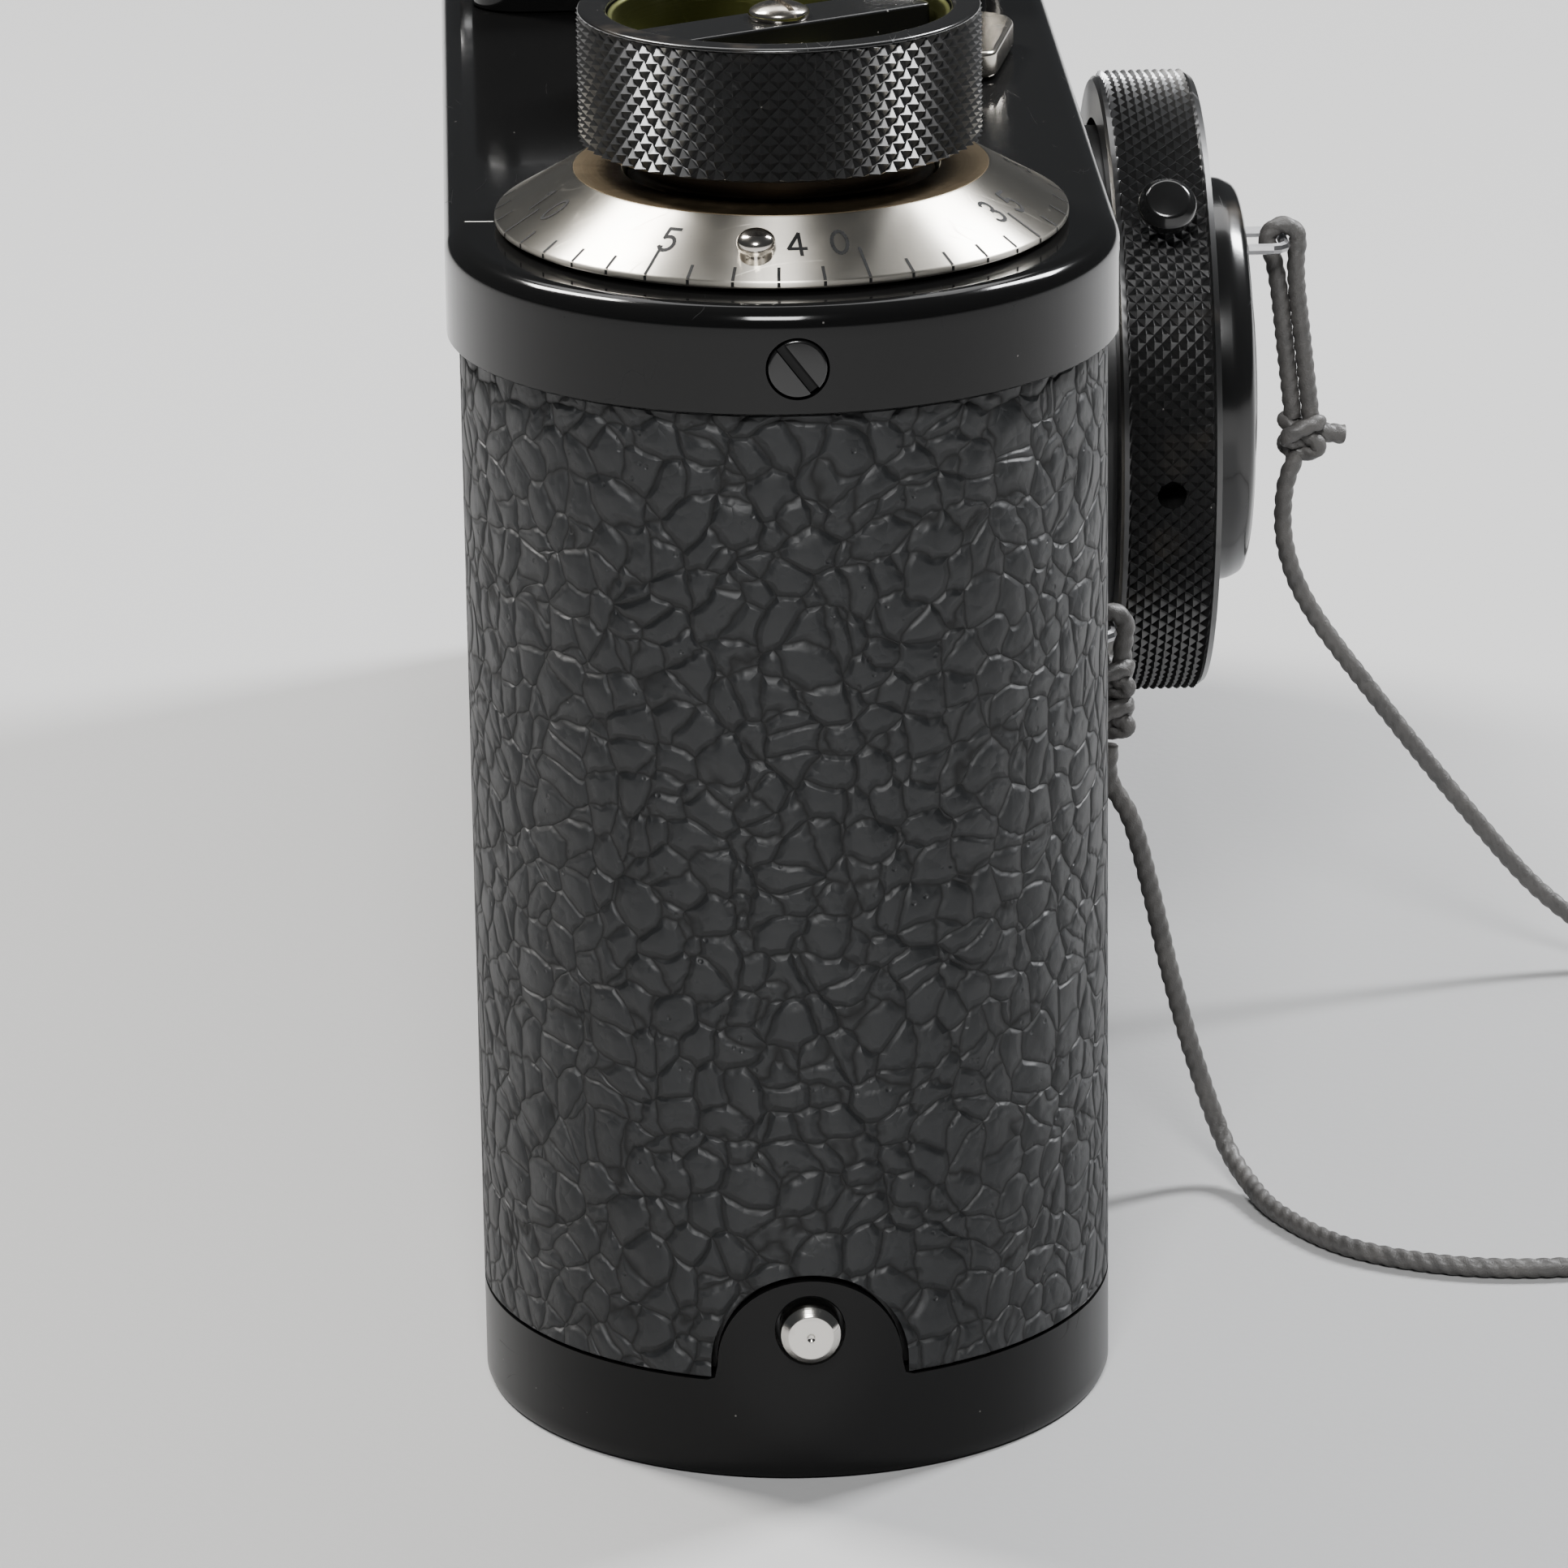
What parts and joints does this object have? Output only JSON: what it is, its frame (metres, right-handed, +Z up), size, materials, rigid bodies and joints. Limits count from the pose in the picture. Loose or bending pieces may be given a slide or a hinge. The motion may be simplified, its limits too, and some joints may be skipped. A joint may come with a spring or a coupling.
{
  "type": "rangefinder camera",
  "caption": "Black 35 mm rangefinder camera with a knurled wind knob, engraved counter dial, collapsible lens, and a lens cap tethered to the body by a waxed cord.",
  "frame": {"origin": "centre of the base plate's bottom face", "axes": "+Z up through the top plate, -Y the way the lens looks, +X from the winding end to the rewind end"},
  "size_m": [0.1345, 0.079, 0.0695],
  "materials": {
    "black_paint": "gloss black enamel",
    "covering": "pebbled vulcanised rubber",
    "nickel": "turned and polished nickel",
    "brass": "machined brass",
    "steel": "machined steel",
    "dark_steel": "blackened metal",
    "glass": "clear optical glass",
    "cloth": "black rubberised cloth",
    "cord": "waxed braided cord"
  },
  "bodies": {
    "body": {"body_shell": "brass", "body_covering": "covering", "top_plate": "black_paint", "base_stud": "nickel", "end_screw_near": "black_paint", "end_screw_far": "black_paint", "wind_bush": "brass", "release_collar": "nickel", "rangefinder_housing": "black_paint", "rangefinder_window_near": "glass", "rangefinder_window_far": "glass", "finder_window": "glass", "finder_eyepiece": "black_paint", "rangefinder_eyepiece": "black_paint", "accessory_shoe": "nickel", "lens_flange": "black_paint", "film_cassette": "brass", "shutter_crate": "dark_steel", "shutter_curtain": "cloth", "film_gate": "dark_steel", "pressure_plate": "dark_steel", "cord_eyelet": "steel", "body_loop": "cord", "body_knot": "cord"},
    "winding": {"wind_knob": "black_paint", "wind_shaft": "steel", "knob_bar": "black_paint", "knob_screw": "nickel", "take_up_spool": "dark_steel"},
    "counter": {"counter_dial": "nickel", "counter_pin": "nickel"},
    "sprocket": {"sprocket_shaft": "steel"},
    "drum": {"curtain_drum": "brass"},
    "speed": {"speed_dial": "nickel", "speed_spindle": "steel"},
    "release": {"release_button": "nickel"},
    "reverse": {"reverse_lever": "nickel"},
    "rewind_slider": {"rewind_sleeve": "brass"},
    "rewind": {"rewind_knob": "black_paint", "rewind_shaft": "steel"},
    "cassette_core": {"cassette_spool": "black_paint"},
    "focus": {"focus_ring": "black_paint"},
    "catch": {"focus_catch": "black_paint"},
    "carrier": {"focus_sleeve": "brass"},
    "collapsible": {"lens_tube": "nickel", "lens_barrel": "black_paint", "front_glass": "glass", "rear_glass": "glass", "iris_blades": "dark_steel"},
    "aperture": {"aperture_ring": "nickel"},
    "cap": {"lens_cap": "black_paint", "cap_bail": "steel", "cap_loop": "cord", "cap_knot": "cord", "tether_cord": "cord"},
    "coupling_arm": {"rangefinder_arm": "steel"},
    "base": {"base_plate": "black_paint", "tripod_boss": "steel"},
    "lock": {"base_lock_disc": "nickel"},
    "key": {"base_key": "nickel"}
  },
  "joints": [
    {"name": "wind_turn", "type": "hinge", "parent": "body", "child": "winding", "pos_m": [-0.0515, 0, 0.0637], "axis": [0, 0, 1], "continuous": true},
    {"name": "counter_turn", "type": "hinge", "parent": "body", "child": "counter", "pos_m": [-0.0515, 0, 0.058], "axis": [0, 0, 1], "continuous": true},
    {"name": "sprocket_turn", "type": "hinge", "parent": "body", "child": "sprocket", "pos_m": [-0.0335, 0.0053, 0.03], "axis": [0, 0, 1], "continuous": true},
    {"name": "drum_turn", "type": "hinge", "parent": "body", "child": "drum", "pos_m": [-0.021, -0.0015, 0.03], "axis": [0, 0, 1], "continuous": true},
    {"name": "speed_turn", "type": "hinge", "parent": "body", "child": "speed", "pos_m": [-0.0267, 0, 0.06], "axis": [0, 0, 1], "range_deg": [0, 315]},
    {"name": "release_press", "type": "slide", "parent": "body", "child": "release", "axis": [0, 0, -1], "range_m": [0, 0.0015], "stiffness_N_per_m": 300},
    {"name": "reverse_swing", "type": "hinge", "parent": "body", "child": "reverse", "pos_m": [-0.019, -0.0108, 0.0575], "axis": [0, 0, 1], "range_deg": [0, 42]},
    {"name": "rewind_lift", "type": "slide", "parent": "body", "child": "rewind_slider", "axis": [0, 0, 1], "range_m": [0, 0.005]},
    {"name": "rewind_turn", "type": "hinge", "parent": "rewind_slider", "child": "rewind", "pos_m": [0.0515, 0, 0.06], "axis": [0, 0, 1], "continuous": true},
    {"name": "cassette_turn", "type": "hinge", "parent": "body", "child": "cassette_core", "pos_m": [0.0515, 0, 0.03], "axis": [0, 0, 1], "continuous": true},
    {"name": "focus_turn", "type": "hinge", "parent": "body", "child": "focus", "pos_m": [0, -0.0213, 0.0338], "axis": [0, -1, 0], "range_deg": [0, 160]},
    {"name": "catch_press", "type": "slide", "parent": "focus", "child": "catch", "axis": [0.7071, 0, -0.7071], "range_m": [0, 0.0008], "stiffness_N_per_m": 200},
    {"name": "focus_travel", "type": "slide", "parent": "body", "child": "carrier", "axis": [0, -1, 0], "range_m": [0, 0.0026]},
    {"name": "tube_extend", "type": "slide", "parent": "carrier", "child": "collapsible", "axis": [0, -1, 0], "range_m": [0, 0.016]},
    {"name": "aperture_turn", "type": "hinge", "parent": "collapsible", "child": "aperture", "pos_m": [0, -0.0219, 0.0338], "axis": [0, -1, 0], "range_deg": [0, 70]},
    {"name": "cap_pull", "type": "slide", "parent": "body", "child": "cap", "axis": [0, -1, 0], "range_m": [0, 0.04]},
    {"name": "arm_swing", "type": "hinge", "parent": "body", "child": "coupling_arm", "pos_m": [0, -0.005, 0.053], "axis": [-1, 0, 0], "range_deg": [0, 19]},
    {"name": "base_swing", "type": "hinge", "parent": "body", "child": "base", "pos_m": [-0.0665, 0, 0.0089], "axis": [0, 1, 0], "range_deg": [0, 12]},
    {"name": "lock_turn", "type": "hinge", "parent": "base", "child": "lock", "pos_m": [0.048, 0, 0.002], "axis": [0, 0, -1], "range_deg": [0, 180]},
    {"name": "key_fold", "type": "hinge", "parent": "lock", "child": "key", "pos_m": [0.048, 0, 0.00055], "axis": [-1, 0, 0], "range_deg": [0, 90]}
  ],
  "couplings": [
    {"joint": "counter_turn", "follows": "wind_turn", "ratio": 0.025},
    {"joint": "sprocket_turn", "follows": "wind_turn", "ratio": 1},
    {"joint": "drum_turn", "follows": "wind_turn", "ratio": -1.25},
    {"joint": "cassette_turn", "follows": "rewind_turn", "ratio": 1},
    {"joint": "focus_travel", "follows": "focus_turn", "m_per_rad": 0.0009311},
    {"joint": "arm_swing", "follows": "focus_turn", "ratio": 0.11875},
    {"joint": "tube_extend", "follows": "cap_pull", "ratio": 0.4}
  ]
}
